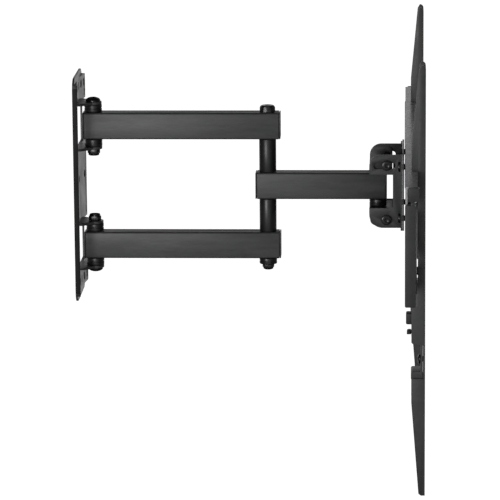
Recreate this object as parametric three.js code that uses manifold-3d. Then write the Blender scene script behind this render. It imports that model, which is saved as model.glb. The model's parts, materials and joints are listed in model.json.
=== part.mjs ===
// Full motion TV wall mount: a wall plate carries a twin lower arm, a single forearm,
// a swivelling, tilting and levelling head, and a wide rail on which two TV brackets hang.
// Millimetres. +X points from the wall to the TV, +Y runs along the wall, +Z is up.
// The origin is the middle of the wall plate's back face.
import * as THREE from 'three';
import { mergeVertices } from 'three/addons/utils/BufferGeometryUtils.js';
import Module from 'manifold-3d';

const wasm = await Module();
wasm.setup();

// ---- driving dimensions ----
const GAP = 0.3; // clearance between faces that touch
const SHEET = 2.5; // pressed steel sheet
const ROUND = 16; // sides of a round piece
const CURVE_STEPS = 2; // steps in each half of an arc of a small slot or hole
const FINE_STEPS = 6; // the same for the outlines of visible sheet parts

const PLATE = { width: 90, height: 236, depth: 5.4, sheet: 2, corner: 13, windowHalf: 41.5, flat: 14 };
const TUBE = { height: 28, width: 20, wall: 1.8, corner: 2 };
const PIN_R = 4.7; // pivot bolts
const HOLE_R = 5.1; // holes that the pivot bolts run in
const BUSH_R = 9.2;

const WALL_AXIS_X = 17.6; // wall hinge, from the wall
const ELBOW_X = 200; // elbow pin, from the wall
const SWIVEL_X = 315.4; // head swivel, from the wall
const ARM_Z = 63.4; // the two lower arms lie this far above and below the middle
const ARM_START = WALL_AXIS_X - 9.1;
const ARM_END = ELBOW_X + 11.9;
const FOREARM_START = ELBOW_X - 11;
const FOREARM_END = SWIVEL_X + 7.5;
const LUG_INNER = 22.5; // inner faces of the wall lugs, from the arm's middle

const CHEEK = { y: 32.5, left: 306.5, right: 340.7, flange: 1.6, web: 331, top: 37.7, bottom: -39.2 };
const TILT = { x: 324.3, z: -30.6 }; // tilt pivot
const LOCK = { x: 324.8, z: 26.8, r: 3 }; // tilt lock bolts, in the curved slots
const TILT_RANGE = { down: 10, up: 5 }; // degrees
const HEAD_PLATE = { back: 340.8, front: 342.6, width: 100, height: 80 };
const LEVEL = { y: 44, z: 27, r: 3, collar: [342.8, 343.7] };
const LEVEL_HEAD = { radius: 5.2, height: 2.6 }; // level bolts, in curved slots
const LEVEL_RANGE = 3; // degrees each way

const RAIL = { back: 344, front: 355.5, top: 55, bottom: -62, length: 606, sheet: 2 };
const BRACKET = { y: 208, width: 30, sheet: 2, front: 363.7, back: 350, top: 160, foot: -120 };
const EXTENSION = { top: -154, bottom: -274, taper: -178, tongue: -104, screws: [-119, -137] };
const LATCH = { x: [344.6, 355.5], z: [-100.7, -89.5], half: 6 };
const WALL_HEAD = { radius: 7.7, height: 4.6 }; // domed heads of the wall bolts
const ELBOW_HEAD = { radius: 8.1, height: 6.7 };
const SPACER_R = 8.9;

const steel = new THREE.MeshStandardMaterial({ color: 0x3c3c3e, roughness: 0.6, metalness: 0.35 });
const boltSteel = new THREE.MeshStandardMaterial({ color: 0x141415, roughness: 0.35, metalness: 0.8 });
const plastic = new THREE.MeshStandardMaterial({ color: 0x1d1d1e, roughness: 0.55, metalness: 0.0 });

// ---- solids ----
function solidOf(geometry) {
  const bare = geometry.clone();
  bare.deleteAttribute('normal');
  bare.deleteAttribute('uv');
  const merged = mergeVertices(bare, 1e-4);
  return new wasm.Manifold(new wasm.Mesh({
    numProp: 3,
    vertProperties: new Float32Array(merged.attributes.position.array),
    triVerts: new Uint32Array(merged.index.array),
  }));
}

function geometryOf(solid) {
  const { vertProperties, triVerts } = solid.getMesh();
  const geometry = new THREE.BufferGeometry();
  geometry.setAttribute('position', new THREE.BufferAttribute(new Float32Array(vertProperties), 3));
  geometry.setIndex(new THREE.BufferAttribute(new Uint32Array(triVerts), 1));
  geometry.computeVertexNormals();
  return geometry;
}

const join = (...solids) => solids.reduce((whole, piece) => whole.add(piece));
const sorted = (a, b) => (a < b ? [a, b] : [b, a]);
const cut = (body, ...tools) => tools.reduce((rest, tool) => rest.subtract(tool), body);

function box(x, y, z) {
  const geometry = new THREE.BoxGeometry(x[1] - x[0], y[1] - y[0], z[1] - z[0]);
  geometry.translate((x[0] + x[1]) / 2, (y[0] + y[1]) / 2, (z[0] + z[1]) / 2);
  return solidOf(geometry);
}

// A round bar along one axis, from one end to the other.
function bar(axis, [a, b, c], radius, span, sides = ROUND) {
  const geometry = new THREE.CylinderGeometry(radius, radius, span[1] - span[0], sides);
  const middle = (span[0] + span[1]) / 2;
  if (axis === 'x') geometry.rotateZ(-Math.PI / 2).translate(middle, b, c);
  if (axis === 'y') geometry.translate(a, middle, c);
  if (axis === 'z') geometry.rotateX(Math.PI / 2).translate(a, b, middle);
  return solidOf(geometry);
}

function ring(axis, place, outer, inner, span, sides = ROUND) {
  const past = [span[0] - 1, span[1] + 1];
  return cut(bar(axis, place, outer, span, sides), bar(axis, place, inner, past));
}

function extruded(shape, depth, curveSegments) {
  return new THREE.ExtrudeGeometry(shape, { depth, bevelEnabled: false, curveSegments });
}

// A flat outline in X and Z, given thickness along Y.
function slabXZ(shape, y0, y1, steps = CURVE_STEPS) {
  return solidOf(extruded(shape, y1 - y0, steps).rotateX(Math.PI / 2).translate(0, y1, 0));
}

// A flat outline in Y and Z, given thickness along X.
function slabYZ(shape, x0, x1, steps = CURVE_STEPS) {
  const upright = extruded(shape, x1 - x0, steps).rotateX(Math.PI / 2).rotateZ(Math.PI / 2);
  return solidOf(upright.translate(x0, 0, 0));
}

// A flat outline in X and Y, given thickness along Z.
function slabXY(shape, z0, z1, steps = CURVE_STEPS) {
  return solidOf(extruded(shape, z1 - z0, steps).translate(0, 0, z0));
}

function roundedOutline(u0, u1, v0, v1, corners) {
  const [a, b, c, d] = corners; // radii at (u0,v0), (u1,v0), (u1,v1), (u0,v1)
  const shape = new THREE.Shape();
  shape.moveTo(u0 + a, v0).lineTo(u1 - b, v0);
  if (b) shape.absarc(u1 - b, v0 + b, b, -Math.PI / 2, 0);
  shape.lineTo(u1, v1 - c);
  if (c) shape.absarc(u1 - c, v1 - c, c, 0, Math.PI / 2);
  shape.lineTo(u0 + d, v1);
  if (d) shape.absarc(u0 + d, v1 - d, d, Math.PI / 2, Math.PI);
  shape.lineTo(u0, v0 + a);
  if (a) shape.absarc(u0 + a, v0 + a, a, Math.PI, Math.PI * 1.5);
  return shape;
}

const ovalOutline = (u, v, halfU, halfV) => {
  const r = Math.min(halfU, halfV) * 0.999;
  return roundedOutline(u - halfU, u + halfU, v - halfV, v + halfV, [r, r, r, r]);
};

// A slot of constant width whose middle line is an arc about a pivot.
function arcSlotOutline(pivot, point, fromDeg, toDeg, halfWidth) {
  const radius = Math.hypot(point[0] - pivot[0], point[1] - pivot[1]);
  const base = Math.atan2(point[1] - pivot[1], point[0] - pivot[0]);
  const a0 = base + THREE.MathUtils.degToRad(fromDeg);
  const a1 = base + THREE.MathUtils.degToRad(toDeg);
  const end = (angle) => [pivot[0] + radius * Math.cos(angle), pivot[1] + radius * Math.sin(angle)];
  const shape = new THREE.Shape();
  shape.absarc(pivot[0], pivot[1], radius + halfWidth, a0, a1, false);
  shape.absarc(...end(a1), halfWidth, a1, a1 + Math.PI, false);
  shape.absarc(pivot[0], pivot[1], radius - halfWidth, a1, a0, true);
  shape.absarc(...end(a0), halfWidth, a0 + Math.PI, a0 + 2 * Math.PI, false);
  return shape;
}

const mount = new THREE.Group();
mount.name = 'full_motion_tv_wall_mount';

function body(x = 0, y = 0, z = 0) {
  const group = new THREE.Group();
  group.position.set(x, y, z);
  mount.add(group);
  return group;
}

// Adds a solid, made in the mount's frame, to the group of the body that it belongs to.
function piece(group, name, solid, material) {
  const geometry = geometryOf(solid);
  geometry.translate(-group.position.x, -group.position.y, -group.position.z);
  const mesh = new THREE.Mesh(geometry, material);
  mesh.name = name;
  group.add(mesh);
}

// ---- fasteners ----
// A bolt along Z: a domed or plain round head, and a shank that reaches to `end`.
function boltZ(x, y, seat, end, headR, headH, domed, shankR = PIN_R) {
  const up = seat > end ? 1 : -1;
  const profile = [[0, 0], [headR, 0], [headR, headH * (domed ? 0.35 : 0.85)]];
  if (domed) profile.push([headR * 0.86, headH * 0.72], [headR * 0.5, headH * 0.96]);
  else profile.push([headR * 0.88, headH]);
  profile.push([0, headH]);
  const head = new THREE.LatheGeometry(profile.map(([r, h]) => new THREE.Vector2(r, h)), ROUND);
  head.rotateX(up * Math.PI / 2).translate(x, y, seat);
  const socket = bar('z', [x, y], headR * 0.42, sorted(seat + up * headH * 0.45, seat + up * (headH + 1)), 6);
  const shank = bar('z', [x, y], shankR, sorted(end, seat + up * headH * 0.3));
  return cut(join(solidOf(head), shank), socket);
}

function nutZ(x, y, z0, z1, radius) {
  return ring('z', [x, y], radius, PIN_R + GAP, [z0, z1], 6);
}

// A bolt along Y: the head sits outside the seat, and the shank goes in to `end`.
function boltY(x, z, seat, end, headR, headH, shankR) {
  const out = Math.sign(seat - end);
  const head = bar('y', [x, 0, z], headR, sorted(seat, seat + out * headH));
  const depth = sorted(seat + out * headH * 0.5, seat + out * (headH + 1));
  const socket = bar('y', [x, 0, z], headR * 0.45, depth, 6);
  return cut(join(head, bar('y', [x, 0, z], shankR, sorted(end, seat + out * 0.5))), socket);
}

// A bolt along X, with its head towards the wall.
function boltX(y, z, seat, end, headR, headH, shankR) {
  const head = bar('x', [0, y, z], headR, [seat - headH, seat]);
  const socket = bar('x', [0, y, z], headR * 0.45, [seat - headH - 1, seat - headH * 0.5], 6);
  return cut(join(head, bar('x', [0, y, z], shankR, [seat - 0.5, end])), socket);
}

// ---- wall plate: one pressed sheet whose four hinge lugs are bent out of two windows ----
function wallPlate() {
  const { width, height, depth, sheet, corner, windowHalf } = PLATE;
  const half = width / 2;
  const through = [-1, depth + 1];
  const outline = roundedOutline(-half, half, -height / 2, height / 2, [corner, corner, corner, corner]);
  const straight = height / 2 - corner / 2;
  let plate = slabYZ(outline, 0, sheet, FINE_STEPS);
  plate = plate.add(dishedSides(half, straight));
  for (const z of [-ARM_Z, ARM_Z]) {
    const opening = [z - LUG_INNER, z + LUG_INNER];
    plate = plate.subtract(box(through, [-windowHalf, windowHalf], opening));
    // the far edge is open beside a window
    plate = plate.subtract(box([sheet, depth + 1], [0, half + 1], opening));
    for (const side of [-1, 1]) plate = plate.add(lug(z, side));
  }
  for (const side of [-1, 1]) {
    for (const y of [-38, -23, -8, 8, 23, 38]) {
      plate = plate.subtract(slabYZ(ovalOutline(y, side * 103, 3, 4.5), ...through));
    }
    for (const y of [-39, 39]) {
      plate = plate.subtract(slabYZ(ovalOutline(y, side * 92.5, 1.5, 4), ...through));
      plate = plate.subtract(slabYZ(ovalOutline(y, side * 33, 1.5, 4), ...through));
    }
  }
  return cut(plate, ...[-34, 0, 34].map((y) => bar('x', [0, y, 5.5], 4, through)));
}

// The long sides rise gently from the flat middle and then fold back to the wall.
function dishedSides(half, straight) {
  const { sheet, depth, flat, corner } = PLATE;
  const sides = [-1, 1].map((side) => {
    const skin = new THREE.Shape();
    skin.moveTo(sheet, side * flat).lineTo(depth, side * (half - 1)).lineTo(depth, side * half);
    skin.lineTo(0, side * half).lineTo(0, side * (half - sheet)).lineTo(depth - sheet, side * (half - sheet));
    skin.lineTo(0, side * flat);
    return slabXY(skin, -straight, straight);
  });
  const tall = PLATE.height / 2;
  const trim = roundedOutline(-half, half, -tall, tall, [corner, corner, corner, corner]);
  return join(...sides).intersect(slabYZ(trim, -1, depth + 1, FINE_STEPS));
}

function lug(armZ, side) {
  const rootHalf = 19;
  const root = PLATE.sheet * 0.2;
  const shape = new THREE.Shape();
  shape.moveTo(root, -rootHalf).lineTo(6, -rootHalf);
  shape.lineTo(WALL_AXIS_X, -9).absarc(WALL_AXIS_X, 0, 9, -Math.PI / 2, Math.PI / 2);
  shape.lineTo(6, rootHalf).lineTo(root, rootHalf);
  const z = sorted(armZ + side * LUG_INNER, armZ + side * (LUG_INNER + SHEET));
  const hole = bar('z', [WALL_AXIS_X, 0], HOLE_R, [z[0] - 1, z[1] + 1]);
  return cut(slabXY(shape, ...z, FINE_STEPS), hole);
}

const wall = body();
piece(wall, 'wall_plate', wallPlate(), steel);

const bushSpan = [TUBE.height / 2 + GAP, LUG_INNER - GAP];
for (const [level, side] of [['upper', 1], ['lower', -1]]) {
  const armZ = side * ARM_Z;
  const outer = LUG_INNER + SHEET;
  const seat = armZ + side * (outer + GAP);
  const end = armZ - side * (outer + 6);
  const wallBolt = boltZ(WALL_AXIS_X, 0, seat, end, WALL_HEAD.radius, WALL_HEAD.height, true);
  piece(wall, `${level}_wall_bolt`, wallBolt, boltSteel);
  const nut = sorted(armZ - side * (outer + GAP), armZ - side * (outer + 7));
  piece(wall, `${level}_wall_nut`, nutZ(WALL_AXIS_X, 0, ...nut, 6.6), boltSteel);
  for (const [where, up] of [['top', 1], ['bottom', -1]]) {
    const span = sorted(armZ + up * bushSpan[0], armZ + up * bushSpan[1]);
    const bush = ring('z', [WALL_AXIS_X, 0], BUSH_R, HOLE_R, span);
    piece(wall, `${level}_wall_bush_${where}`, bush, plastic);
  }
}

// ---- square tube arm along X, open at both ends, with a pivot hole near each end ----
function tubeArm(x0, x1, z, holes) {
  const { height, width, wall: thick } = TUBE;
  const r = TUBE.corner;
  const outline = roundedOutline(-width / 2, width / 2, z - height / 2, z + height / 2, [r, r, r, r]);
  const inside = box([x0 - 1, x1 + 1], [thick - width / 2, width / 2 - thick],
    [z - height / 2 + thick, z + height / 2 - thick]);
  const drill = holes.map((x) => bar('z', [x, 0], HOLE_R, [z - height, z + height]));
  return cut(slabYZ(outline, x0, x1), inside, ...drill);
}

// A plastic plug that closes one end of a tube: a thin face and a short spigot inside.
function endPlug(x, z, inward) {
  const { height, width, wall: thick } = TUBE;
  const face = box(sorted(x - inward * 1.8, x - inward * GAP), [-width / 2 + 0.4, width / 2 - 0.4],
    [z - height / 2 + 0.4, z + height / 2 - 0.4]);
  const fit = thick + GAP;
  const spigot = box(sorted(x - inward * 1, x + inward * 2.1), [fit - width / 2, width / 2 - fit],
    [z - height / 2 + fit, z + height / 2 - fit]);
  return join(face, spigot);
}

// ---- twin lower arm, joined by the elbow pin ----
const twinArm = body(WALL_AXIS_X, 0, 0);
for (const [level, side] of [['upper', 1], ['lower', -1]]) {
  const z = side * ARM_Z;
  piece(twinArm, `${level}_arm`, tubeArm(ARM_START, ARM_END, z, [WALL_AXIS_X, ELBOW_X]), steel);
  piece(twinArm, `${level}_arm_wall_plug`, endPlug(ARM_START, z, 1), plastic);
  piece(twinArm, `${level}_arm_elbow_plug`, endPlug(ARM_END, z, -1), plastic);
  const spacer = sorted(side * (TUBE.height / 2 + GAP), z - side * (TUBE.height / 2 + GAP));
  piece(twinArm, `${level}_elbow_spacer`, ring('z', [ELBOW_X, 0], SPACER_R, HOLE_R, spacer), boltSteel);
}
const armOuter = ARM_Z + TUBE.height / 2;
const { radius: elbowR, height: elbowH } = ELBOW_HEAD;
const elbowBolt = boltZ(ELBOW_X, 0, armOuter + GAP, -armOuter - 13, elbowR, elbowH, false);
piece(twinArm, 'elbow_bolt', elbowBolt, boltSteel);
const elbowWasher = ring('z', [ELBOW_X, 0], 9.3, HOLE_R, [-armOuter - 6.8, -armOuter - GAP]);
piece(twinArm, 'elbow_washer', elbowWasher, plastic);
piece(twinArm, 'elbow_nut', nutZ(ELBOW_X, 0, -armOuter - 12.4, -armOuter - 7.1, 6.2), boltSteel);

// ---- forearm ----
const forearm = body(ELBOW_X, 0, 0);
piece(forearm, 'forearm', tubeArm(FOREARM_START, FOREARM_END, 0, [ELBOW_X, SWIVEL_X]), steel);
piece(forearm, 'forearm_elbow_plug', endPlug(FOREARM_START, 0, 1), plastic);
piece(forearm, 'forearm_head_plug', endPlug(FOREARM_END, 0, -1), plastic);

// ---- swivel yoke: two bent brackets clamped above and below the forearm ----
const yoke = body(SWIVEL_X, 0, 0);
const UPPER_YOKE = { plate: [18.6, 21.1], ear: 35.5 };
const LOWER_YOKE = { plate: [-24.8, -22.3], ear: -37 };
const earOuter = CHEEK.y - GAP;

function yokeBracket({ plate, ear }) {
  const x = [SWIVEL_X - 9, 330.4];
  const top = Math.max(...plate, ear);
  const bottom = Math.min(...plate, ear);
  const shelf = slabXY(roundedOutline(x[0], x[1], -earOuter, earOuter, [3, 3, 3, 3]), ...plate);
  const ears = [-1, 1].map((side) => slabXZ(
    roundedOutline(x[0] + 1, x[1], bottom, top, ear > 0 ? [0, 0, 6, 6] : [6, 6, 0, 0]),
    ...sorted(side * earOuter, side * (earOuter - SHEET)),
  ));
  const tall = [-CHEEK.y, CHEEK.y];
  const boltHole = ear > 0
    ? bar('y', [LOCK.x, 0, LOCK.z], LOCK.r + GAP, tall)
    : bar('y', [TILT.x, 0, TILT.z], LOCK.r + GAP, tall);
  const pinHole = bar('z', [SWIVEL_X, 0], HOLE_R, [bottom - 1, top + 1]);
  return cut(join(shelf, ...ears), boltHole, pinHole);
}

piece(yoke, 'upper_swivel_yoke', yokeBracket(UPPER_YOKE), steel);
piece(yoke, 'lower_swivel_yoke', yokeBracket(LOWER_YOKE), steel);
const forearmHalf = TUBE.height / 2;
const topBush = ring('z', [SWIVEL_X, 0], 8.6, HOLE_R, [forearmHalf + GAP, UPPER_YOKE.plate[0] - GAP]);
const lowBush = ring('z', [SWIVEL_X, 0], 9, HOLE_R, [LOWER_YOKE.plate[1] + GAP, -forearmHalf - GAP]);
piece(yoke, 'swivel_bush_top', topBush, plastic);
piece(yoke, 'swivel_bush_bottom', lowBush, plastic);
piece(yoke, 'swivel_bolt', boltZ(SWIVEL_X, 0, UPPER_YOKE.plate[1] + GAP, -33, 7.3, 7, false), boltSteel);
piece(yoke, 'swivel_nut', nutZ(SWIVEL_X, 0, -32, LOWER_YOKE.plate[0] - GAP, 6.8), boltSteel);

for (const [name, side] of [['near', -1], ['far', 1]]) {
  const seat = side * (CHEEK.y + SHEET + GAP);
  const end = side * (earOuter - SHEET - 3);
  const pivotBolt = boltY(TILT.x, TILT.z, seat, end, 5.2, 3, LOCK.r);
  const lockBolt = boltY(LOCK.x, LOCK.z, seat, end, 5.2, 3, LOCK.r);
  piece(yoke, `${name}_tilt_pivot_bolt`, pivotBolt, boltSteel);
  piece(yoke, `${name}_tilt_lock_bolt`, lockBolt, boltSteel);
}

// ---- tilting head: two cheeks with outward flanges, bolted to the head plate ----
const head = body(TILT.x, 0, TILT.z);

function cheek(side) {
  const { left, right, web, top, bottom, y } = CHEEK;
  const mouthTop = 16.9;
  const mouthBottom = side > 0 ? -21.5 : -18.4;
  const outline = roundedOutline(left, right, bottom, top, [14, 0, 0, 12]);
  const plateY = sorted(side * y, side * (y + SHEET));
  const past = [plateY[0] - 1, plateY[1] + 1];
  const plate = cut(
    slabXZ(outline, ...plateY, FINE_STEPS),
    box([left - 1, web], past, [mouthBottom, mouthTop]),
    bar('y', [TILT.x, 0, TILT.z], LOCK.r + GAP, past),
    slabXZ(arcSlotOutline([TILT.x, TILT.z], [LOCK.x, LOCK.z],
      -TILT_RANGE.up - 0.6, TILT_RANGE.down + 0.6, LOCK.r + GAP), ...past, FINE_STEPS),
  );
  const flangeY = sorted(side * y, side * (HEAD_PLATE.width / 2));
  const flange = box([right - CHEEK.flange, right], flangeY, [bottom, top]);
  const holes = [-LEVEL.z, LEVEL.z].map((z) => bar('x', [0, side * LEVEL.y, z], LEVEL.r + GAP, [330, 345]));
  return cut(join(plate, flange), ...holes);
}

piece(head, 'near_tilt_cheek', cheek(-1), steel);
piece(head, 'far_tilt_cheek', cheek(1), steel);

const levelPlaces = [];
for (const [row, z] of [['upper', LEVEL.z], ['lower', -LEVEL.z]]) {
  for (const [name, y] of [['near', -LEVEL.y], ['far', LEVEL.y]]) levelPlaces.push([`${name}_${row}`, y, z]);
}

function headPlate() {
  const { width, height, back, front } = HEAD_PLATE;
  const outline = roundedOutline(-width / 2, width / 2, -height / 2, height / 2, [4, 4, 4, 4]);
  const holes = levelPlaces.map(([, y, z]) => bar('x', [0, y, z], LEVEL.r + GAP, [330, 350]));
  return cut(slabYZ(outline, back, front), ...holes, bar('x', [0, 0, 0], 12, [330, 350]));
}

piece(head, 'head_plate', headPlate(), steel);
for (const [name, y, z] of levelPlaces) {
  const seat = CHEEK.right - CHEEK.flange - 0.1;
  const { radius, height } = LEVEL_HEAD;
  const levelBolt = boltX(y, z, seat, RAIL.back + RAIL.sheet + 4, radius, height, LEVEL.r);
  const collar = bar('x', [0, y, z], radius, LEVEL.collar);
  piece(head, `${name}_level_bolt`, join(levelBolt, collar), boltSteel);
}

// ---- rail: a long pressed channel, open towards the TV, that the brackets hang on ----
const rail = body(0, 0, 0);

function railChannel() {
  const { back, front, top, bottom, length, sheet } = RAIL;
  const half = length / 2;
  const along = [-half, half];
  const web = box([back, back + sheet], along, [bottom, top]);
  const topFold = box([back, front], along, [top - sheet, top]);
  const topLip = box([front - sheet, front], along, [top - 12, top]);
  const bottomFold = box([back, front], along, [bottom, bottom + sheet]);
  const bottomLip = box([front - sheet, front], along, [bottom, bottom + 12]);
  let channel = join(web, topFold, topLip, bottomFold, bottomLip);
  for (const y of [-225, -150, 150, 225]) {
    for (const z of [-30, 22]) {
      channel = channel.subtract(slabYZ(ovalOutline(y, z, 28, 6), back - 1, back + sheet + 1));
    }
  }
  for (const [, y, z] of levelPlaces) {
    const slot = arcSlotOutline([0, 0], [y, z], -LEVEL_RANGE - 0.4, LEVEL_RANGE + 0.4, LEVEL.r + GAP);
    channel = channel.subtract(slabYZ(slot, back - 1, back + sheet + 1));
  }
  return channel;
}

// An end cap has a square top block for the upper fold and a tall block below it.
function railCap(side) {
  const { back, front, top, bottom, length } = RAIL;
  const y = sorted(side * (length / 2 + GAP), side * (length / 2 + 6.5));
  const upper = slabXZ(roundedOutline(back + 2.4, front + 1.7, top - 13.5, top, [1, 1, 1, 1]), ...y);
  const lower = slabXZ(roundedOutline(back - 0.6, front - 1.6, bottom, top - 17, [1.5, 1.5, 1.5, 1.5]), ...y);
  const neckY = sorted(side * (length / 2 + 2), side * (length / 2 + 6));
  const neck = box([back + 5, front - 3], neckY, [top - 20, top - 10]);
  return join(upper, lower, neck);
}

piece(rail, 'rail', railChannel(), steel);
piece(rail, 'near_rail_cap', railCap(-1), plastic);
piece(rail, 'far_rail_cap', railCap(1), plastic);

// ---- TV brackets: upright channels that hook on the rail, each with a bolted extension ----
function bracketFlangeOutline() {
  const { front, back, top, foot } = BRACKET;
  const notch = RAIL.front + 0.8;
  const shape = new THREE.Shape();
  shape.moveTo(front, top - 1).absarc(front - 4, top - 4, 4, 0.3, Math.PI / 2);
  shape.lineTo(front - 6.4, top - 4).lineTo(back, 78).lineTo(back, RAIL.top + 0.5);
  shape.lineTo(notch, RAIL.top + 0.5).lineTo(notch, RAIL.bottom - 0.5).lineTo(back, RAIL.bottom - 0.5);
  shape.lineTo(back, foot + 3).lineTo(back + 3, foot).lineTo(front, foot);
  return shape;
}

function bracketArm(y) {
  const { front, top, foot, width, sheet } = BRACKET;
  const half = width / 2;
  const outline = bracketFlangeOutline();
  const flangeY = (side) => sorted(y + side * half, y + side * (half - sheet));
  const flanges = [-1, 1].map((side) => slabXZ(outline, ...flangeY(side), FINE_STEPS));
  const web = box([front - sheet, front], [y - half, y + half], [EXTENSION.top + GAP, top - 4]);
  let arm = join(web, ...flanges);
  for (const z of [130, 95, 25, -10, -45, -85]) {
    arm = arm.subtract(slabYZ(ovalOutline(y, z, 3.2, 13), front - sheet - 1, front + 1));
  }
  for (const z of EXTENSION.screws) arm = arm.subtract(bar('x', [0, y, z], 3.3, [front - 10, front + 10]));
  return arm;
}

function bracketExtension(y) {
  const { front, back, width, sheet } = BRACKET;
  const { top, bottom, taper, tongue } = EXTENSION;
  const half = width / 2;
  const shape = new THREE.Shape();
  shape.moveTo(front, top).lineTo(back + 1.5, top).lineTo(back, top - 1.5).lineTo(back, taper);
  shape.lineTo(front - 6.4, bottom + 2).lineTo(front - 4, bottom).lineTo(front, bottom);
  const flanges = [-1, 1].map((side) => slabXZ(shape, ...sorted(y + side * half, y + side * (half - sheet))));
  const web = box([front - sheet, front], [y - half, y + half], [bottom, top]);
  const inner = half - sheet - GAP;
  const tongueX = [front - 2 * sheet - GAP, front - sheet - GAP];
  const tongueWeb = box(tongueX, [y - inner, y + inner], [top - 8, tongue]);
  const step = box([tongueX[0], front], [y - inner, y + inner], [top - 8, top]);
  const tab = slabXZ(roundedOutline(back - 0.4, tongueX[0] + 1, top - 0.5, top + 6.6, [0, 0, 0, 2]),
    y - inner, y + inner);
  let extension = join(web, ...flanges, tongueWeb, step, tab);
  for (const z of [-185, -220, -252]) {
    extension = extension.subtract(slabYZ(ovalOutline(y, z, 3.2, 12), front - 10, front + 1));
  }
  return cut(extension, ...EXTENSION.screws.map((z) => bar('x', [0, y, z], 3.3, [front - 10, front + 10])));
}

// The latch block slides down below the rail's lower fold to let the bracket lift off.
function latchBlock(y) {
  return slabXZ(roundedOutline(...LATCH.x, ...LATCH.z, [1.5, 1.5, 1.5, 1.5]), y - LATCH.half, y + LATCH.half);
}

for (const [name, side] of [['near', -1], ['far', 1]]) {
  const y = side * BRACKET.y;
  const bracket = body(0, y, 0);
  piece(bracket, `${name}_bracket_arm`, bracketArm(y), steel);
  piece(bracket, `${name}_bracket_extension`, bracketExtension(y), steel);
  for (const [where, z] of [['upper', EXTENSION.screws[0]], ['lower', EXTENSION.screws[1]]]) {
    const seat = BRACKET.front - 2 * BRACKET.sheet - 2 * GAP;
    const screw = boltX(y, z, seat, BRACKET.front - 0.2, 5, 3, 2.9);
    piece(bracket, `${name}_${where}_extension_screw`, screw, boltSteel);
  }
  const stopX = [345.5, 349.7];
  const stop = slabXZ(roundedOutline(...stopX, -111.4, -107, [0, 0, 0, 1.5]), y - 3, y + 3);
  const stem = bar('x', [0, y, -109.2], 1.8, [stopX[1] - 1, BRACKET.front - 2 * BRACKET.sheet - 2 * GAP]);
  piece(bracket, `${name}_safety_screw`, join(stop, stem), boltSteel);
  const latch = body(0, y, 0);
  piece(latch, `${name}_latch_block`, latchBlock(y), plastic);
}

export default mount;
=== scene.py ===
# %% [markdown]
# # A full motion TV wall mount
# The mount is pressed steel sheet, square steel tube, bolts and a few plastic parts, all black.
# Its frame is packed already, at its real size, in metres: +X runs from the wall to the TV, +Z is up.
# This script dresses that frame. It never moves a piece, so every joint still turns where it should.

# %% Load the frame
import json
import math

import bmesh
import bpy
from mathutils import Matrix, Vector


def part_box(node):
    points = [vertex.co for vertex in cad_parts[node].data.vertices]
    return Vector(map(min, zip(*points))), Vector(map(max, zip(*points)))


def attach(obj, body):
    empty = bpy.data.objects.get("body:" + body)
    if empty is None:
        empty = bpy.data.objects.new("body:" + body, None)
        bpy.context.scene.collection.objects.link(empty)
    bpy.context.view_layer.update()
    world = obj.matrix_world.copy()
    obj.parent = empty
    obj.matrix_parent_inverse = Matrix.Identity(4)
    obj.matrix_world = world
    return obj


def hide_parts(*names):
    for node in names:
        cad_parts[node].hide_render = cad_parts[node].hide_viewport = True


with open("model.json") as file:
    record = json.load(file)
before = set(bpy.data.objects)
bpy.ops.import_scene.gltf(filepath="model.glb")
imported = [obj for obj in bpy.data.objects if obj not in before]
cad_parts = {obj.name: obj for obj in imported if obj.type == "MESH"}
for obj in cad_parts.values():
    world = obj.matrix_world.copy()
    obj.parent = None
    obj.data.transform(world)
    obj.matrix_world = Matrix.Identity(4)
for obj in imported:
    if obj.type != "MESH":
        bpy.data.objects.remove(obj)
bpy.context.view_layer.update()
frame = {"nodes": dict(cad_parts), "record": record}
record = frame["record"]
MM = 0.001
body_of_node = {n: b for b, nodes in record["behaviour"]["bodies"].items() for n in nodes}
slot_of_node = {s["node"]: s["material_slot"] for s in record["subparts"]}

# %% [markdown]
# ## The camera
# The mount is seen from the side with a long lens, from a little above and a little towards the TV.
# A long lens keeps the arms almost parallel, and the far bracket only a little smaller than the near one.

# %% Camera
LENS_MM = 247.3
CAMERA_DISTANCE = 3.616
AZIMUTH = math.radians(2.6)
ELEVATION = math.radians(11.8)
ROLL = math.radians(0.43)
LOOK_AT = Vector((0.1807, 0.0, -0.0702))


def make_camera():
    """A still camera that looks at the middle of the mount."""
    forward = Vector((
        -math.sin(AZIMUTH) * math.cos(ELEVATION),
        math.cos(AZIMUTH) * math.cos(ELEVATION),
        -math.sin(ELEVATION),
    ))
    data = bpy.data.cameras.new("camera")
    data.lens = LENS_MM
    data.sensor_width = 36.0
    data.clip_end = 50.0
    camera = bpy.data.objects.new("camera", data)
    camera.location = LOOK_AT - forward * CAMERA_DISTANCE
    level = forward.to_track_quat("-Z", "Y").to_matrix()
    camera.rotation_euler = (level @ Matrix.Rotation(-ROLL, 3, "Z")).to_euler()
    bpy.context.collection.objects.link(camera)
    bpy.context.scene.camera = camera
    return camera


camera = make_camera()
print("camera at", tuple(round(v, 3) for v in camera.location))

# %% [markdown]
# ## Light and floor
# Black powder coat shows its shape by what it reflects. Here a bright band stands all round the horizon,
# and the sky overhead and the ground below are nearly black. Flat faces pick up the band and turn grey,
# the tops of the arms catch it at a low angle and go pale, and rounded edges reflect the dark and draw a
# black line round every shape. One soft lamp adds a pool of light on the upper arm, and a weaker one
# stands high up in front.

# %% Light
BAND = (  # (height of the direction, brightness), from straight down to straight up
    (-1.0, 0.02), (-0.62, 0.05), (-0.38, 0.75), (-0.1, 1.0), (0.02, 0.6),
    (0.36, 0.6), (0.5, 0.1), (0.75, 0.03), (1.0, 0.02),
)
SIDE_DARK = 0.22  # brightness towards the wall and towards the TV
SIDE_EDGE, SIDE_CLEAR = 0.14, 0.3  # where the dark side ends and where full brightness starts
WORLD_STRENGTH = 1.0
WHITE = (1.0, 1.0, 1.0, 1.0)


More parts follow.
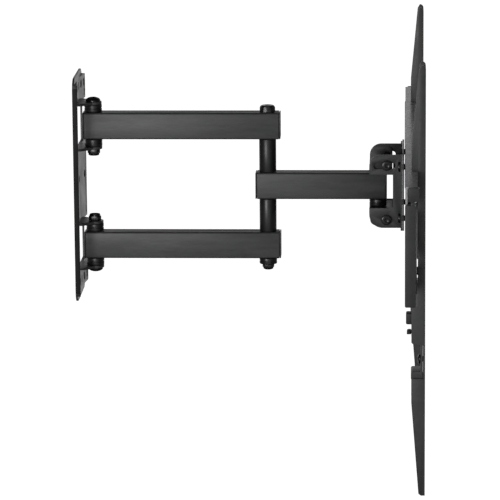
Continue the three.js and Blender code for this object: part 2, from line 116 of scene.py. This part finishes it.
def graded(tree, source, stops):
    """A ramp of greys over a number from 0 to 1."""
    ramp_node = tree.nodes.new("ShaderNodeValToRGB")
    marks = ramp_node.color_ramp.elements
    while len(marks) < len(stops):
        marks.new(0.5)
    for mark, (place, grey) in zip(marks, stops):
        mark.position = place
        mark.color = (grey, grey, grey, 1.0)
    tree.links.new(source, ramp_node.inputs["Fac"])
    return ramp_node.outputs["Color"]


def make_world():
    """A sky graded by height and by side, with a plain white backdrop that only the camera sees."""
    world = bpy.data.worlds.new("studio")
    world.use_nodes = True
    tree = world.node_tree
    where = tree.nodes.new("ShaderNodeTexCoord")
    parts = tree.nodes.new("ShaderNodeSeparateXYZ")
    tree.links.new(where.outputs["Generated"], parts.inputs[0])

    def scaled(source, factor, shift):
        step = tree.nodes.new("ShaderNodeMath")
        step.operation = "MULTIPLY_ADD"
        step.inputs[1].default_value = factor
        step.inputs[2].default_value = shift
        tree.links.new(source, step.inputs[0])
        return step.outputs[0]

    height = graded(tree, scaled(parts.outputs["Z"], 0.5, 0.5), [((h + 1) / 2, g) for h, g in BAND])
    rise = [(0.0, SIDE_DARK), (SIDE_EDGE, SIDE_DARK), (SIDE_CLEAR, 1.0)]
    across = rise + [(1.0 - place, grey) for place, grey in reversed(rise)]
    sides = graded(tree, scaled(parts.outputs["X"], 0.5, 0.5), across)
    both = tree.nodes.new("ShaderNodeMix")
    both.data_type = "RGBA"
    both.blend_type = "MULTIPLY"
    both.inputs[0].default_value = 1.0
    tree.links.new(height, both.inputs[6])
    tree.links.new(sides, both.inputs[7])
    sky = tree.nodes["Background"]
    sky.inputs["Strength"].default_value = WORLD_STRENGTH
    tree.links.new(both.outputs[2], sky.inputs["Color"])
    # the band lights the object, and behind it the camera sees plain white
    backdrop = tree.nodes.new("ShaderNodeBackground")
    backdrop.inputs["Color"].default_value = WHITE
    choose = tree.nodes.new("ShaderNodeMixShader")
    seen = tree.nodes.new("ShaderNodeLightPath")
    tree.links.new(seen.outputs["Is Camera Ray"], choose.inputs[0])
    tree.links.new(sky.outputs[0], choose.inputs[1])
    tree.links.new(backdrop.outputs[0], choose.inputs[2])
    tree.links.new(choose.outputs[0], tree.nodes["World Output"].inputs["Surface"])
    bpy.context.scene.world = world


def soft_lamp(name, place, aim, size, power):
    """A rectangular lamp, aimed at a point and hidden from the camera."""
    data = bpy.data.lights.new(name, "AREA")
    data.shape = "RECTANGLE"
    data.size, data.size_y = size
    data.energy = power
    lamp = bpy.data.objects.new(name, data)
    lamp.location = place
    lamp.rotation_euler = (Vector(aim) - Vector(place)).to_track_quat("-Z", "Y").to_euler()
    lamp.visible_camera = False
    bpy.context.collection.objects.link(lamp)


make_world()
soft_lamp("pool", (-0.2, -1.0, 0.06), (0.04, 0.0, 0.06), (0.4, 0.3), 4.0)
soft_lamp("key", (-0.5, -1.6, 1.5), (0.15, 0.0, 0.0), (0.5, 0.5), 3.0)
bpy.context.scene.view_settings.view_transform = "Standard"

# %% [markdown]
# The floor is a plain white sheet, far below and all round. It glows a little, so that it stays white under
# a dark sky. Only the camera sees it: its glow would otherwise wash out the dark lines along the edges.

# %% Floor
FLOOR_Z = -1.4
FLOOR_REACH = 60.0


def pale_floor():
    """One large sheet with a faint glow, marked as not part of the mount."""
    mesh = bpy.data.meshes.new("floor")
    corners = [(-1, -1), (1, -1), (1, 1), (-1, 1)]
    mesh.from_pydata([(x * FLOOR_REACH, y * FLOOR_REACH, FLOOR_Z) for x, y in corners], [], [(0, 1, 2, 3)])
    floor = bpy.data.objects.new("floor", mesh)
    bpy.context.collection.objects.link(floor)
    paint = bpy.data.materials.new("pale_floor")
    paint.use_nodes = True
    shader = paint.node_tree.nodes["Principled BSDF"]
    shader.inputs["Base Color"].default_value = (0.8, 0.8, 0.8, 1.0)
    shader.inputs["Roughness"].default_value = 0.9
    shader.inputs["Emission Color"].default_value = WHITE
    shader.inputs["Emission Strength"].default_value = 1.0
    mesh.materials.append(paint)
    floor.visible_diffuse = False
    floor.visible_glossy = False


pale_floor()
print("floor at", FLOOR_Z)

# %% [markdown]
# ## Finishes
# Powder coat is sprayed as dust and melts into a skin with a fine orange peel, so it is a dark colour, a
# middling roughness and a very small bump. Tube keeps a faint grain along its length. Fasteners are
# black oxide, smoother and glossier. The plugs, bushes and caps are moulded nylon.

# %% Material helpers
EVEN = (1.0, 1.0, 1.0)  # a pattern with no grain


def nodes_of(material):
    tree = material.node_tree
    return tree, tree.nodes["Principled BSDF"]


def noise(tree, scale, detail, stretch=EVEN, fine=0.5):
    """Noise in object coordinates, stretched along one axis where the finish has a grain."""
    where = tree.nodes.new("ShaderNodeTexCoord")
    mapping = tree.nodes.new("ShaderNodeMapping")
    mapping.inputs["Scale"].default_value = stretch
    texture = tree.nodes.new("ShaderNodeTexNoise")
    texture.inputs["Scale"].default_value = scale
    texture.inputs["Detail"].default_value = detail
    texture.inputs["Roughness"].default_value = fine
    tree.links.new(where.outputs["Object"], mapping.inputs["Vector"])
    tree.links.new(mapping.outputs["Vector"], texture.inputs["Vector"])
    return texture.outputs["Fac"]


def ramp(tree, source, low, high, start=0.3, stop=0.7):
    """Turns noise into a colour between two near ones."""
    node = tree.nodes.new("ShaderNodeValToRGB")
    node.color_ramp.elements[0].position = start
    node.color_ramp.elements[1].position = stop
    node.color_ramp.elements[0].color = (*low, 1.0)
    node.color_ramp.elements[1].color = (*high, 1.0)
    tree.links.new(source, node.inputs["Fac"])
    return node.outputs["Color"]


def spread(tree, source, low, high):
    """Turns noise into a number between low and high."""
    node = tree.nodes.new("ShaderNodeMapRange")
    node.inputs["From Min"].default_value = 0.3
    node.inputs["From Max"].default_value = 0.7
    node.inputs["To Min"].default_value = low
    node.inputs["To Max"].default_value = high
    tree.links.new(source, node.inputs["Value"])
    return node.outputs["Result"]


def edge_wear(tree, colour, worn, amount):
    """Lightens convex edges a little, where handling thins the coat."""
    geometry = tree.nodes.new("ShaderNodeNewGeometry")
    edge = tree.nodes.new("ShaderNodeMapRange")
    edge.inputs["From Min"].default_value = 0.52
    edge.inputs["From Max"].default_value = 0.62
    edge.inputs["To Max"].default_value = amount
    mix = tree.nodes.new("ShaderNodeMix")
    mix.data_type = "RGBA"
    mix.inputs[7].default_value = (*worn, 1.0)
    tree.links.new(geometry.outputs["Pointiness"], edge.inputs["Value"])
    tree.links.new(edge.outputs["Result"], mix.inputs[0])
    tree.links.new(colour, mix.inputs[6])
    return mix.outputs[2]


MOTTLE = {"scale": 110.0, "detail": 6.0, "fine": 0.75}  # patches of a few millimetres
MOTTLE_LOW, MOTTLE_HIGH = 0.72, 1.3  # the darkest and lightest patch, times the colour
GLOSS_SCALE = 70.0
BUMP_DEPTH = 0.4 * MM


def finish_material(name, colour, rough, grain_scale, bump, stretch=EVEN, wear=0.35, specular=0.5):
    """A finish with colour variation, edge wear, uneven gloss and a fine bump."""
    material = bpy.data.materials.new(name)
    material.use_nodes = True
    tree, shader = nodes_of(material)
    low = tuple(c * MOTTLE_LOW for c in colour)
    high = tuple(c * MOTTLE_HIGH for c in colour)
    mottle = ramp(tree, noise(tree, stretch=stretch, **MOTTLE), low, high, 0.38, 0.62)
    worn = tuple(min(1.0, c * 2.1 + 0.02) for c in colour)
    tree.links.new(edge_wear(tree, mottle, worn, wear), shader.inputs["Base Color"])
    tree.links.new(spread(tree, noise(tree, GLOSS_SCALE, 3.0, stretch), *rough), shader.inputs["Roughness"])
    shader.inputs["Specular IOR Level"].default_value = specular
    bump_node = tree.nodes.new("ShaderNodeBump")
    bump_node.inputs["Strength"].default_value = bump
    bump_node.inputs["Distance"].default_value = BUMP_DEPTH
    tree.links.new(noise(tree, grain_scale, 3.0, stretch), bump_node.inputs["Height"])
    tree.links.new(bump_node.outputs["Normal"], shader.inputs["Normal"])
    return material


# %% Finishes of the mount
coat = finish_material("powder_coat", (0.021, 0.0212, 0.0218), (0.34, 0.44), 1500.0, 0.22)
ALONG_TUBE = (0.16, 1.0, 1.0)
tube_coat = finish_material("tube_coat", (0.036, 0.0363, 0.0372), (0.40, 0.50), 1300.0, 0.30, ALONG_TUBE)
# Painted highlight: the rail's coat is a mid grey, much lighter than the black coat, so that its top face
# shows the pale sheen it catches at a low angle.
rail_coat_painted_highlight = finish_material("rail_coat_painted_highlight", (0.21, 0.211, 0.213), (0.24, 0.32), 1500.0, 0.20)
black_oxide = finish_material(
    "black_oxide", (0.004, 0.004, 0.0043), (0.16, 0.28), 2200.0, 0.12, specular=0.35
)
spacer_coat = finish_material("spacer_coat", (0.008, 0.008, 0.0085), (0.32, 0.38), 2200.0, 0.06)
cut_edge = finish_material("cut_edge", (0.24, 0.24, 0.245), (0.40, 0.50), 1500.0, 0.15)
nylon = finish_material("nylon", (0.006, 0.006, 0.0065), (0.28, 0.40), 1800.0, 0.16, wear=0.15)
cap_plastic = finish_material("cap_plastic", (0.015, 0.015, 0.0155), (0.36, 0.48), 1700.0, 0.20, wear=0.2)
head_coat = finish_material("head_coat", (0.014, 0.0142, 0.0147), (0.38, 0.48), 1500.0, 0.22)
# Painted shade: a near-black, low-gloss copy of the coat, so that the wall plate's folded flange faces read
# black as if in shadow.
fold_painted_shade = finish_material("fold_painted_shade", (0.006, 0.006, 0.0063), (0.55, 0.65), 1500.0, 0.22, specular=0.15)
print("materials", [m.name for m in bpy.data.materials])

# %% [markdown]
# ## Pressed sheet and tube, with real edges
# A pressed edge is never sharp: the coat rounds it, and that thin bright line is what the eye reads as
# metal. The frame's pieces are exact but sharp, so each is copied, its loose triangles are merged, its
# flat faces are joined up, and its corners are bevelled by less than half a millimetre.

# %% Refine a frame piece
BEVEL = 0.45 * MM
TUBE_BEVEL, SCREW_BEVEL, PLUG_BEVEL, CAP_BEVEL = (k * MM for k in (0.35, 0.3, 0.5, 0.7))


def link(name, mesh):
    piece = bpy.data.objects.new(name, mesh)
    bpy.context.collection.objects.link(piece)
    return piece


def baked(piece):
    """Applies the modifiers, so that what is left is a plain mesh."""
    graph = bpy.context.evaluated_depsgraph_get()
    mesh = bpy.data.meshes.new_from_object(piece.evaluated_get(graph))
    old = piece.data
    piece.modifiers.clear()
    piece.data = mesh
    bpy.data.meshes.remove(old)
    return piece


def shade(mesh, degrees=32.0):
    """Smooth shading, with every corner sharper than this angle kept crisp."""
    mesh.shade_smooth()
    mesh.set_sharp_from_angle(angle=math.radians(degrees))


def wear(piece, node, material):
    """Gives a finished piece its material and its body, and hides the frame node it stands for."""
    piece.data.materials.clear()
    piece.data.materials.append(material)
    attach(piece, body_of_node[node])
    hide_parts(node)
    return piece


def merged_copy(node):
    """A frame piece's mesh with its triangles joined into flat faces."""
    mesh = frame["nodes"][node].data.copy()
    work = bmesh.new()
    work.from_mesh(mesh)
    bmesh.ops.remove_doubles(work, verts=work.verts, dist=0.01 * MM)
    bmesh.ops.dissolve_limit(work, angle_limit=math.radians(0.6), verts=work.verts, edges=work.edges)
    work.to_mesh(mesh)
    work.free()
    return mesh


def refined(node, material, bevel=BEVEL):
    """A frame piece with softened corners."""
    piece = link(node + "_skin", merged_copy(node))
    edge = piece.modifiers.new("edge", "BEVEL")
    edge.width = bevel
    edge.segments = 3
    edge.limit_method = "ANGLE"
    edge.angle_limit = math.radians(32.0)
    edge.use_clamp_overlap = True
    baked(piece)
    shade(piece.data)
    return wear(piece, node, material)


# %% Edges that look different
def dress_ends(piece, material):
    """Gives the faces at both ends of a piece along Y a material of their own; on the wall plate that
    material is painted shade.
    """
    mesh = piece.data
    mesh.materials.append(material)
    edge = max(abs(v.co.y) for v in mesh.vertices) - 0.6 * MM
    for face in mesh.polygons:
        if abs(face.normal.y) > 0.8 and abs(face.center.y) > edge:
            face.material_index = 1


# %% Sheet, tube and plastic pieces
sheet_nodes = [n for n, s in slot_of_node.items() if s == "sheet_steel" and n != "rail"]
for node in sheet_nodes:
    made = refined(node, head_coat if "cheek" in node or "yoke" in node else coat)
    if node == "wall_plate":
        # the flange faces at both ends of the wall plate get the painted shade
        dress_ends(made, fold_painted_shade)
for node in ("upper_arm", "lower_arm", "forearm"):
    refined(node, tube_coat, TUBE_BEVEL)
# the rail carries the painted highlight; its cut ends have a grey of their own
dress_ends(refined("rail", rail_coat_painted_highlight), cut_edge)
for node in [n for n in slot_of_node if "plug" in n]:
    refined(node, nylon, PLUG_BEVEL)
for node in ("near_rail_cap", "far_rail_cap", "near_latch_block", "far_latch_block"):
    refined(node, cap_plastic, CAP_BEVEL)

# %% [markdown]
# ## Turned pieces
# Bolts, nuts, bushes and spacers come off a lathe, so they are made the same way here: an outline of
# radius and height is turned about an axis. The outline carries the chamfers and the domes.

# %% Turning an outline
STEPS = 64


def turned(profile, closed, steps=STEPS):
    """A mesh turned about Z from (radius, height) points. A closed outline makes a ring."""
    work = bmesh.new()
    columns = []
    for radius, height in profile:
        if radius < 1e-6:
            columns.append([work.verts.new((0.0, 0.0, height))] * steps)
            continue
        angles = [math.tau * k / steps for k in range(steps)]
        columns.append([work.verts.new((radius * math.cos(a), radius * math.sin(a), height)) for a in angles])
    pairs = list(zip(columns, columns[1:]))
    if closed:
        pairs.append((columns[-1], columns[0]))
    for low, high in pairs:
        for k in range(steps):
            ring = [low[k], low[(k + 1) % steps], high[(k + 1) % steps], high[k]]
            corners = list(dict.fromkeys(ring))
            if len(corners) > 2:
                work.faces.new(corners)
    bmesh.ops.recalc_face_normals(work, faces=work.faces)
    mesh = bpy.data.meshes.new("turned")
    work.to_mesh(mesh)
    work.free()
    return mesh


def prism(radius, low, high, sides=6):
    """A solid prism about Z; many sides make a cylinder."""
    return turned([(0.0, low), (radius, low), (radius, high), (0.0, high)], False, sides)


TURN = {
    "z": Matrix.Identity(4),
    "x": Matrix.Rotation(math.pi / 2, 4, "Y"),
    "y": Matrix.Rotation(-math.pi / 2, 4, "X"),
}


def stood(mesh, axis, way, place):
    """Turns a mesh made along +Z so that +Z points along way * axis, and moves it to its place."""
    flip = Matrix.Identity(4) if way > 0 else Matrix.Rotation(math.pi, 4, "X")
    mesh.transform(Matrix.Translation(place) @ TURN[axis] @ flip)
    return mesh


def measure(node, axis):
    """A turned node's middle, outer radius and length, from its box."""
    low, high = (Vector(c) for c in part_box(node))
    k = "xyz".index(axis)
    size = high - low
    radius = max(size[j] for j in range(3) if j != k) / 2
    middle = (low + high) / 2
    return middle, radius, size[k]


# %% [markdown]
# ## Bushes, washers and spacers
# A bush is a nylon ring with a softened rim and a shallow groove round its middle. A spacer is a length
# of polished tube that keeps the forearm half way between the two lower arms.

# %% Rings
SHANK = 4.7 * MM
HOLE = 5.1 * MM
GROOVE = 0.7 * MM  # half the width of a bush's groove
GROOVE_DEPTH = 0.4 * MM


def ring_profile(outer, length, groove):
    """The cut section of a ring with softened rims, and with a groove where one is asked for."""
    half = length / 2
    soft = min(0.7 * MM, half * 0.3)
    rim = [(outer, half - soft), (outer - soft * 0.3, half - soft * 0.3), (outer - soft, half), (HOLE, half)]
    profile = [(radius, -height) for radius, height in reversed(rim)]
    if groove:
        floor = outer - GROOVE_DEPTH
        profile += [(outer, -groove), (floor, -groove * 0.6), (floor, groove * 0.6), (outer, groove)]
    return profile + rim


def ring_piece(node, material, groove=0.0):
    middle, radius, length = measure(node, "z")
    mesh = stood(turned(ring_profile(radius, length, groove), True), "z", 1, middle)
    shade(mesh, 40.0)
    return wear(link(node + "_turned", mesh), node, material)


for level in ("upper", "lower"):
    for end in ("top", "bottom"):
        ring_piece(f"{level}_wall_bush_{end}", nylon, GROOVE)
    ring_piece(f"{level}_elbow_spacer", spacer_coat)
ring_piece("swivel_bush_top", nylon)
ring_piece("swivel_bush_bottom", nylon, GROOVE)
ring_piece("elbow_washer", nylon, GROOVE)

# %% [markdown]
# ## Knurled and domed bolt heads
# The cap screws have a knurled head, so that fingers can start them: dozens of fine ridges in a ring.
# Geometry Nodes stands one ridge on each point of a circle, and the ridge count and size are inputs.

# %% Knurl tree


def knurl_tree():
    """The tree: a circle of points, a ridge on each, and the finish."""
    tree = bpy.data.node_groups.new("knurl", "GeometryNodeTree")
    face = tree.interface
    face.new_socket("Geometry", in_out="INPUT", socket_type="NodeSocketGeometry")
    for name, kind, value in (
        ("Radius", "NodeSocketFloat", 7.0 * MM),
        ("Height", "NodeSocketFloat", 5.0 * MM),
        ("Ridge", "NodeSocketFloat", 0.7 * MM),
        ("Count", "NodeSocketInt", 36),
    ):
        face.new_socket(name, in_out="INPUT", socket_type=kind).default_value = value
    face.new_socket("Finish", in_out="INPUT", socket_type="NodeSocketMaterial")
    face.new_socket("Geometry", in_out="OUTPUT", socket_type="NodeSocketGeometry")
    new, wire = tree.nodes.new, tree.links.new
    given = new("NodeGroupInput")
    circle = new("GeometryNodeCurvePrimitiveCircle")
    points = new("GeometryNodeCurveToPoints")
    size = new("ShaderNodeCombineXYZ")
    ridge = new("GeometryNodeMeshCube")
    stand = new("GeometryNodeInstanceOnPoints")
    real = new("GeometryNodeRealizeInstances")
    both = new("GeometryNodeJoinGeometry")
    paint = new("GeometryNodeSetMaterial")
    out = new("NodeGroupOutput")
    wire(given.outputs["Radius"], circle.inputs["Radius"])
    wire(circle.outputs["Curve"], points.inputs["Curve"])
    wire(given.outputs["Count"], points.inputs["Count"])
    for k, source in enumerate(("Ridge", "Ridge", "Height")):
        wire(given.outputs[source], size.inputs[k])
    wire(size.outputs["Vector"], ridge.inputs["Size"])
    turn = new("FunctionNodeAlignRotationToVector")
    turn.axis = "X"
    place = new("GeometryNodeInputPosition")
    wire(place.outputs["Position"], turn.inputs["Vector"])
    wire(points.outputs["Points"], stand.inputs["Points"])
    wire(ridge.outputs["Mesh"], stand.inputs["Instance"])
    wire(turn.outputs["Rotation"], stand.inputs["Rotation"])
    wire(stand.outputs["Instances"], real.inputs["Geometry"])
    wire(given.outputs["Geometry"], both.inputs["Geometry"])
    wire(real.outputs["Geometry"], both.inputs["Geometry"])
    wire(both.outputs["Geometry"], paint.inputs["Geometry"])
    wire(given.outputs["Finish"], paint.inputs["Material"])
    wire(paint.outputs["Geometry"], out.inputs["Geometry"])
    return tree


knurl = knurl_tree()


def knurled(mesh, radius, height, count, material):
    """Runs the knurl tree on a mesh whose head is centred on the origin, and returns the result."""
    piece = link("knurl_work", mesh)
    rough = piece.modifiers.new("knurl", "NODES")
    rough.node_group = knurl
    sizes = {"Radius": radius, "Height": height, "Ridge": RIDGE, "Count": count, "Finish": material}
    for item in knurl.interface.items_tree:
        if item.in_out == "INPUT" and item.name in sizes:
            rough[item.identifier] = sizes[item.name]
    baked(piece)
    result = piece.data
    bpy.data.objects.remove(piece)
    return result


# %% [markdown]
# ## Bolts and nuts
# A bolt is a turned head with a six-sided socket sunk in it, and a shank with a few thread rings at its
# tip. A lock nut is a six-sided prism with a round collar that holds its nylon insert.

# %% Bolts
COLLAR = (1.8 * MM, 0.9 * MM)  # how far below the head it starts, and its thickness
RIDGE = 0.62 * MM
PITCH = 1.25 * MM


def head_profile(radius, height, domed):
    """Half the outline of a head, from its seat up to the middle of its top."""
    if domed:
        arc = [math.radians(a) for a in (0, 15, 30, 45, 60, 75)]
        dome = [(radius * math.cos(a), height * (0.25 + 0.75 * math.sin(a))) for a in arc]
        return [(radius, 0.0), *dome, (radius * 0.12, height), (0.0, height)]
    soft = 0.9 * MM
    return [
        (radius - 0.3 * MM, 0.0), (radius, 0.3 * MM), (radius, height - soft),
        (radius - soft * 0.3, height - soft * 0.3), (radius - soft, height), (0.0, height),
    ]


def shank_profile(radius, length, threaded):
    """From the tip, which is chamfered, up to the head. The threaded stretch is a row of small rings."""
    tip = min(0.8 * MM, radius * 0.3)
    profile = [(0.0, -length), (radius - tip, -length), (radius, -length + tip)]
    for k in range(int(threaded / PITCH)):
        start = -length + tip + (k + 0.2) * PITCH
        profile += [(radius, start), (radius - 0.45 * MM, start + PITCH * 0.4), (radius, start + PITCH * 0.8)]
    return profile


def combined(mesh, operation, tool):
    """One mesh cut by, joined to or trimmed by another."""
    body = link("body_work", mesh)
    other = link("tool_work", tool)
    work = body.modifiers.new("combine", "BOOLEAN")
    work.operation = operation
    work.object = other
    baked(body)
    result = body.data
    bpy.data.objects.remove(body)
    bpy.data.objects.remove(other)
    return result


def bolt_mesh(head_r, head_h, shank_r, length, domed, threaded):
    """A round head on a shank, with a six-sided socket sunk in it."""
    shank = shank_profile(shank_r, length, threaded) + [(shank_r, 0.0)]
    profile = shank + head_profile(head_r, head_h, domed)
    deep, wide, past = head_h * 0.42, head_r * 0.5, head_h * 1.6
    socket = turned([(0.0, deep - wide * 0.3), (wide, deep), (wide, past), (0.0, past)], False, 6)
    return combined(turned(profile, False), "DIFFERENCE", socket)


def hex_bolt_mesh(head_r, head_h, shank_r, length, threaded):
    """A six-sided head: a prism trimmed by a low dome, which rounds the six corners."""
    dome = [(0.0, -0.1 * MM), (head_r, -0.1 * MM), (head_r, head_h * 0.62), (head_r * 0.93, head_h * 0.84)]
    dome += [(head_r * 0.8, head_h * 0.97), (head_r * 0.66, head_h), (0.0, head_h)]
    head = combined(prism(head_r, 0.0, head_h), "INTERSECT", turned(dome, False))
    head = combined(head, "DIFFERENCE", prism(head_r * 0.34, head_h * 0.6, head_h * 1.6, 24))
    root = head_h * 0.2
    shank = shank_profile(shank_r, length, threaded) + [(shank_r, root), (0.0, root)]
    return combined(head, "UNION", turned(shank, False))


def bolt_piece(
    node, axis, way, head_h, shank_r, domed=False, hexagonal=False, ridges=0, threaded=7 * MM, collar=None
):
    """way is +1 where the head is at the high end of the axis."""
    middle, head_r, span = measure(node, axis)
    if hexagonal:
        mesh = hex_bolt_mesh(head_r, head_h, shank_r, span - head_h, threaded)
    else:
        mesh = bolt_mesh(head_r, head_h, shank_r, span - head_h, domed, threaded)
    if collar:
        start, thick = collar
        rim = [(0.0, -start - thick), (head_r, -start - thick), (head_r, -start), (0.0, -start)]
        mesh = combined(mesh, "UNION", turned(rim, False))
    if ridges:
        mesh.transform(Matrix.Translation((0.0, 0.0, -head_h / 2)))
        mesh = knurled(mesh, head_r - 0.22 * MM, head_h * 0.62, ridges, black_oxide)
        mesh.transform(Matrix.Translation((0.0, 0.0, head_h / 2)))
    seat = middle.copy()
    seat["xyz".index(axis)] += way * (span / 2 - head_h)
    shade(stood(mesh, axis, way, seat), 38.0)
    return wear(link(node + "_turned", mesh), node, black_oxide)


bolt_piece("upper_wall_bolt", "z", 1, 4.6 * MM, SHANK, domed=True)
bolt_piece("lower_wall_bolt", "z", -1, 4.6 * MM, SHANK, domed=True)
bolt_piece("elbow_bolt", "z", 1, 6.7 * MM, SHANK, hexagonal=True)
bolt_piece("swivel_bolt", "z", 1, 7 * MM, SHANK, ridges=40)
for side, way in (("near", -1), ("far", 1)):
    for job in ("pivot", "lock"):
        bolt_piece(f"{side}_tilt_{job}_bolt", "y", way, 3 * MM, 3 * MM, ridges=32, threaded=3 * MM)
    for row in ("upper", "lower"):
        bolt_piece(f"{side}_{row}_level_bolt", "x", -1, 2.6 * MM, 3 * MM, collar=COLLAR, threaded=3 * MM)
        bolt_piece(f"{side}_{row}_extension_screw", "x", -1, 3 * MM, 2.9 * MM, domed=True, threaded=2 * MM)
    refined(f"{side}_safety_screw", black_oxide, SCREW_BEVEL)

# %% Nuts


def nut_piece(node, way):
    """A lock nut on a vertical bolt. way is +1 where its collar points up."""
    middle, radius, length = measure(node, "z")
    hexagon = link("nut_work", prism(radius, -length / 2, length * 0.18))
    bore = link("bore_work", prism(HOLE - 0.1 * MM, -length, length, 48))
    collar_profile = ring_profile(radius * 0.86, length * 0.62, 0.0)
    collar = link("collar_work", stood(turned(collar_profile, True), "z", 1, Vector((0, 0, length * 0.19))))
    drill = hexagon.modifiers.new("bore", "BOOLEAN")
    drill.operation = "DIFFERENCE"
    drill.object = bore
    grow = hexagon.modifiers.new("collar", "BOOLEAN")
    grow.operation = "UNION"
    grow.object = collar
    edge = hexagon.modifiers.new("edge", "BEVEL")
    edge.width = 0.4 * MM
    edge.segments = 2
    edge.limit_method = "ANGLE"
    edge.angle_limit = math.radians(40.0)
    baked(hexagon)
    mesh = hexagon.data
    for helper in (hexagon, bore, collar):
        bpy.data.objects.remove(helper)
    stood(mesh, "z", way, middle)
    shade(mesh, 35.0)
    return wear(link(node + "_turned", mesh), node, black_oxide)


nut_piece("upper_wall_nut", -1)
nut_piece("lower_wall_nut", 1)
nut_piece("elbow_nut", -1)
nut_piece("swivel_nut", -1)
